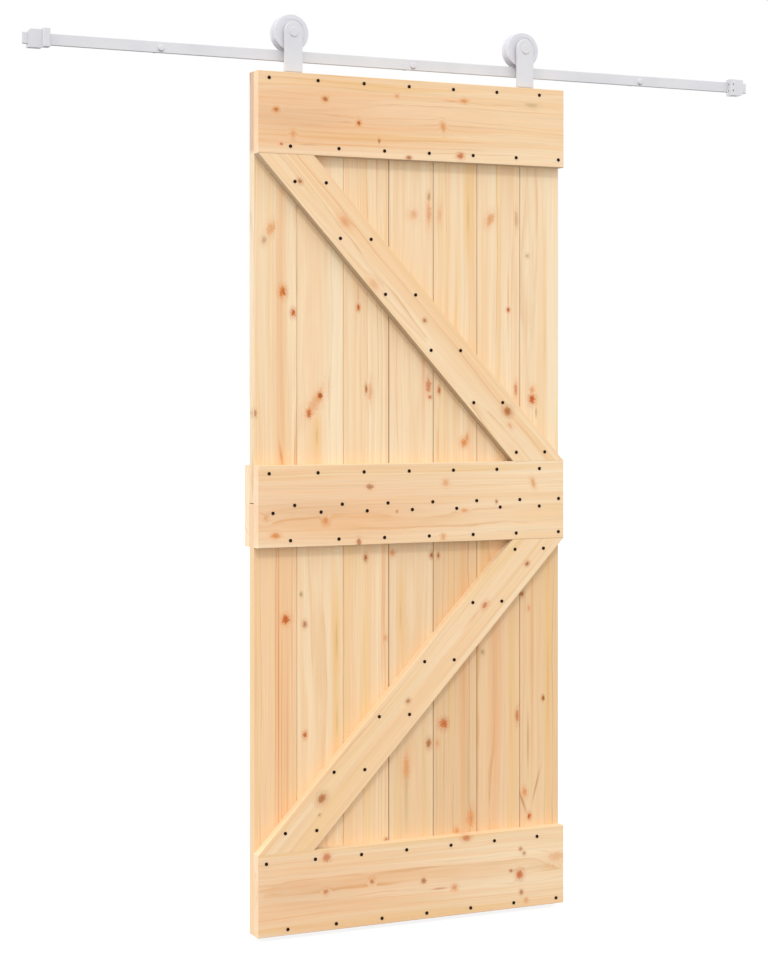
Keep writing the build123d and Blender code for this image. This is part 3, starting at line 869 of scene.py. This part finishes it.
# A countersunk head with a tapered drive well, set on every point of a mesh
def buildScrewTree():
    tree, given, out = newGroup(
        "screwHeads",
        "GeometryNodeTree",
        [("Points", "Geometry"), ("Head Radius", "Float"), ("Head Depth", "Float"), ("Rise", "Float"),
         ("Drive Share", "Float"), ("Drive Depth", "Float"), ("Sides", "Int"), ("Facing", "Rotation"),
         ("Seed", "Int"), ("Finish", "Material")],
        [("Geometry", "Geometry")],
    )
    tree.is_modifier = True
    body = addNode(
        tree, "GeometryNodeMeshCylinder",
        links={"Vertices": given["Sides"], "Radius": given["Head Radius"], "Depth": given["Head Depth"]},
    )
    half = addNode(
        tree, "ShaderNodeMath", {1: -0.5}, {0: given["Head Depth"], 2: given["Rise"]},
        operation="MULTIPLY_ADD",
    )
    lift = addNode(tree, "ShaderNodeCombineXYZ", links={"Z": half.outputs[0]})
    seated = addNode(
        tree, "GeometryNodeTransform",
        links={"Geometry": body.outputs["Mesh"], "Translation": lift.outputs[0]},
    )
    crown = addNode(
        tree, "GeometryNodeExtrudeMesh",
        links={"Mesh": seated.outputs[0], "Selection": body.outputs["Top"], "Offset Scale": given["Rise"]},
    )
    crownTop = addNode(
        tree, "GeometryNodeScaleElements", {"Scale": 0.86},
        {"Geometry": crown.outputs["Mesh"], "Selection": crown.outputs["Top"]},
    )
    shelf = addNode(
        tree, "GeometryNodeExtrudeMesh", {"Offset Scale": 0.0},
        {"Mesh": crownTop.outputs[0], "Selection": crown.outputs["Top"]},
    )
    drive = addNode(
        tree, "GeometryNodeScaleElements",
        links={
            "Geometry": shelf.outputs["Mesh"], "Selection": shelf.outputs["Top"],
            "Scale": given["Drive Share"],
        },
    )
    down = addNode(tree, "ShaderNodeMath", {1: -1.0}, {0: given["Drive Depth"]}, operation="MULTIPLY")
    well = addNode(
        tree, "GeometryNodeExtrudeMesh",
        links={"Mesh": drive.outputs[0], "Selection": shelf.outputs["Top"], "Offset Scale": down.outputs[0]},
    )
    foot = addNode(
        tree, "GeometryNodeScaleElements", {"Scale": 0.7},
        {"Geometry": well.outputs["Mesh"], "Selection": well.outputs["Top"]},
    )
    heads = addNode(
        tree, "GeometryNodeInstanceOnPoints",
        links={"Points": given["Points"], "Instance": foot.outputs[0], "Rotation": given["Facing"]},
    )
    spin = addNode(
        tree, "FunctionNodeRandomValue", {"Min": (0, 0, 0), "Max": (0, 0, 2 * math.pi)},
        {"Seed": given["Seed"]},
        data_type="FLOAT_VECTOR",
    )
    turned = addNode(
        tree, "GeometryNodeRotateInstances",
        links={"Instances": heads.outputs[0], "Rotation": spin.outputs[0]},
    )
    real = addNode(tree, "GeometryNodeRealizeInstances", links={"Geometry": turned.outputs[0]})
    finished = addNode(
        tree, "GeometryNodeSetMaterial", links={"Geometry": real.outputs[0], "Material": given["Finish"]}
    )
    tree.links.new(finished.outputs[0], out["Geometry"])
    return tree


screwTree = buildScrewTree()


def setScrews(name, places, sizes, facing, finish, body):
    mesh = bpy.data.meshes.new(name)
    mesh.from_pydata([tuple(p) for p in places], [], [])
    points = bpy.data.objects.new(name + "Points", mesh)
    scene.collection.objects.link(points)
    heads = points.modifiers.new("heads", "NODES")
    heads.node_group = screwTree
    settings = {**sizes, "Facing": facing, "Seed": 7, "Finish": finish}
    for item in screwTree.interface.items_tree:
        if item.in_out == "INPUT" and item.name in settings:
            heads[item.identifier] = settings[item.name]
    evaluated = points.evaluated_get(bpy.context.evaluated_depsgraph_get())
    made = bpy.data.objects.new(name, bpy.data.meshes.new_from_object(evaluated))
    scene.collection.objects.link(made)
    points.modifiers.remove(heads)
    bpy.data.objects.remove(points)
    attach(made, body)


# Wood screws: two staggered rows along each ledge, more over the joint of the boards, and pairs up the braces
woodScrews = {
    # height above the door's foot, first screw from the door's middle, first step, step, last step (mm)
    "rows": [
        (2083.5, -396, 129, 124, 124), (1919.5, -340, 129, 124, 124),
        (1123.4, -396, 129, 124, 124), (1045.0, -329, 127, 124.4, 114),
        (1027.0, -386, 127, 124.4, 114), (959.5, -340, 129, 124, 124),
        (178.0, -403, 129, 124, 124), (14.3, -347, 129, 124, 124),
    ],
    "perRow": 7,
    # left screw of each pair from the door's middle, height above its foot (mm)
    "bracePairs": [
        (-328.3, 1834), (-207, 1699), (-84.4, 1563.5), (42.1, 1425.3), (162.7, 1293.4), (285.5, 1166),
        (-353.6, 248), (-224.2, 387), (-101.4, 515.5), (23.9, 645), (160.1, 787), (281.7, 918),
    ],
    "pairSpacing": 83.2,  # mm
    "sizes": {"Head Radius": 4.4 * mm, "Head Depth": 3 * mm, "Rise": 0.8 * mm, "Drive Share": 0.5,
              "Drive Depth": 1.1 * mm, "Sides": 16},
}

screwPlaces = []
for height, across, firstStep, step, lastStep in woodScrews["rows"]:
    steps = [0, firstStep] + [step] * (woodScrews["perRow"] - 3) + [lastStep]
    for gap in steps:
        across += gap
        screwPlaces.append(onDoor(across, height))
for across, height in woodScrews["bracePairs"]:
    screwPlaces += [onDoor(across, height), onDoor(across + woodScrews["pairSpacing"], height)]
facingFront = (math.radians(90), 0, 0)
setScrews(
    "door_wood_screws", screwPlaces, woodScrews["sizes"], facingFront, blackPhosphate, "door"
)

# Screws that hold the hanger feet to the door's top edge
footScrews = {
    "spacing": 20,  # mm
    "fromBack": 11.5,  # mm, from the foot's back edge to the screws
    "footHeight": 6,  # mm
    "sizes": {"Head Radius": 5.2 * mm, "Head Depth": 2 * mm, "Rise": 0.1 * mm, "Drive Share": 0.5,
              "Drive Depth": 1.4 * mm, "Sides": 24},
}
footPlaces = []
for strap in ("left_hanger_strap", "right_hanger_strap"):
    low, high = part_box(strap)
    for side in (-0.5, 0.5):
        footPlaces.append((
            (low.x + high.x) / 2 + side * footScrews["spacing"] * mm,
            high.y - footScrews["fromBack"] * mm,
            low.z + footScrews["footHeight"] * mm,
        ))
setScrews(
    "hanger_foot_screws", footPlaces, footScrews["sizes"], (0, 0, 0), coatedFixings, "door"
)

# Grub screws in the end stops: in the back of the left clamp, in the front of the right plate,
# and two in each inner face
grubScrews = {
    "pitch": 17,  # mm
    "shift": 2,  # mm from the bar's middle, up on the left stop and down on the right one
    "plateWidth": 16,  # mm
    "clampEnd": 49,  # mm from the inner face to the clamp's outer end
    "fromFront": 10,  # mm, to the screws in the inner face
    "sunk": 1.2,  # mm
    "sizes": {"Head Radius": 2.4 * mm, "Head Depth": 4 * mm, "Rise": 0.4 * mm, "Drive Share": 0.6,
              "Drive Depth": 0.5 * mm, "Sides": 18},
}
barLow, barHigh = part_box("track_bar")
barMiddle = (barLow.z + barHigh.z) / 2
onClamp = (grubScrews["plateWidth"] + grubScrews["clampEnd"]) / 2
halfPitch = grubScrews["pitch"] / 2 * mm
for stop, sign in (("left_end_stop", -1), ("right_end_stop", 1)):
    low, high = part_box(stop)
    inner = high.x if sign < 0 else low.x
    across = inner + sign * mm * (onClamp if sign < 0 else grubScrews["plateWidth"] / 2)
    sunk = high.y - grubScrews["sunk"] * mm if sign < 0 else low.y + grubScrews["sunk"] * mm
    facingAway = (sign * math.radians(90), 0, 0)
    plateMiddle = barMiddle - sign * grubScrews["shift"] * mm
    setMiddle = barMiddle if sign < 0 else plateMiddle
    setScrews(
        stop + "_set_screws", [(across, sunk, setMiddle + rise) for rise in (-halfPitch, halfPitch)],
        grubScrews["sizes"], facingAway, zincPlate, "track",
    )
    innerDepth = low.y + grubScrews["fromFront"] * mm
    setScrews(
        stop + "_inner_screws", [(inner, innerDepth, plateMiddle + rise) for rise in (-halfPitch, halfPitch)],
        grubScrews["sizes"], (0, -sign * math.radians(90), 0), zincPlate, "track",
    )
print("screws set:", len(screwPlaces), "in the wood and", len(footPlaces), "in the hanger feet")

# Studio: a bright room, a lamp high in front and a smaller one at the left for the edges
studio = {
    "roomLight": 1.08,
    "floorGap": 12,  # mm under the door
    "floorSize": 400.0,  # m
    "floorColour": "#B3B1AE",  # as it lights the door
    "floorSeen": (0.85, 0.85, 0.85, 1),  # as the camera sees it
    "floorWhite": 0.6,  # share of plain white that the camera sees; the rest keeps the shadow
    "floorGlow": 1.4,
    "above": {"place": (-8.8, -23.2, 20.8), "aim": (0.0, 0.0, -1.0), "size": 5.0, "power": 2150.0},
    "left": {"place": (-11.0, 1.6, -1.5), "aim": (0.0, 0.0, -1.0), "size": 3.0, "power": 290.0},
}


# 1 for rays that show the surface, 0 for those that light the door from it
def seenDirectly(tree):
    ray = addNode(tree, "ShaderNodeLightPath").outputs
    seen = ray["Is Camera Ray"]
    for kind in ("Is Glossy Ray", "Is Transmission Ray"):
        seen = addNode(tree, "ShaderNodeMath", links={0: seen, 1: ray[kind]}, operation="MAXIMUM").outputs[0]
    return seen


world = bpy.data.worlds.new("whiteRoom")
world.use_nodes = True
scene.world = world
tree = world.node_tree
tree.nodes.clear()
strength = addNode(
    tree, "ShaderNodeMapRange", {"To Min": studio["roomLight"], "To Max": 1.0}, {"Value": seenDirectly(tree)}
)
room = addNode(
    tree, "ShaderNodeBackground", {"Color": (1, 1, 1, 1)}, {"Strength": strength.outputs[0]}
)
addNode(tree, "ShaderNodeOutputWorld", links={"Surface": room.outputs[0]})


def softLamp(name, look):
    light = bpy.data.lights.new(name, "AREA")
    light.shape = "DISK"
    light.size = look["size"]
    light.energy = look["power"]
    lamp = bpy.data.objects.new(name, light)
    scene.collection.objects.link(lamp)
    lamp.location = look["place"]
    lamp.rotation_euler = (Vector(look["aim"]) - Vector(look["place"])).to_track_quat("-Z", "Y").to_euler()


softLamp("lampAbove", studio["above"])
softLamp("lampLeft", studio["left"])

half = studio["floorSize"] / 2
floorHeight = doorLow.z - studio["floorGap"] * mm
corners = ((-half, -half), (half, -half), (half, half), (-half, half))
floorMesh = bpy.data.meshes.new("floor")
floorMesh.from_pydata([(x, y, floorHeight) for x, y in corners], [], [(0, 1, 2, 3)])
floor = bpy.data.objects.new("floor", floorMesh)
scene.collection.objects.link(floor)
floorMaterial = bpy.data.materials.new("paleStudioFloor")
floorMaterial.use_nodes = True
tree = floorMaterial.node_tree
tree.nodes.clear()
seen = seenDirectly(tree)
share = addNode(tree, "ShaderNodeMath", {1: studio["floorWhite"]}, {0: seen}, operation="MULTIPLY")
ground = addNode(
    tree, "ShaderNodeMix", {6: linear(studio["floorColour"]), 7: studio["floorSeen"]}, {0: seen},
    data_type="RGBA",
)
lit = addNode(tree, "ShaderNodeBsdfDiffuse", links={"Color": ground.outputs[2]})
white = addNode(tree, "ShaderNodeEmission", {"Color": (1, 1, 1, 1), "Strength": studio["floorGlow"]})
mixed = addNode(
    tree, "ShaderNodeMixShader", links={0: share.outputs[0], 1: lit.outputs[0], 2: white.outputs[0]}
)
addNode(tree, "ShaderNodeOutputMaterial", links={"Surface": mixed.outputs[0]})
floor.data.materials.append(floorMaterial)
print("studio set")

scene.view_settings.view_transform = "Standard"
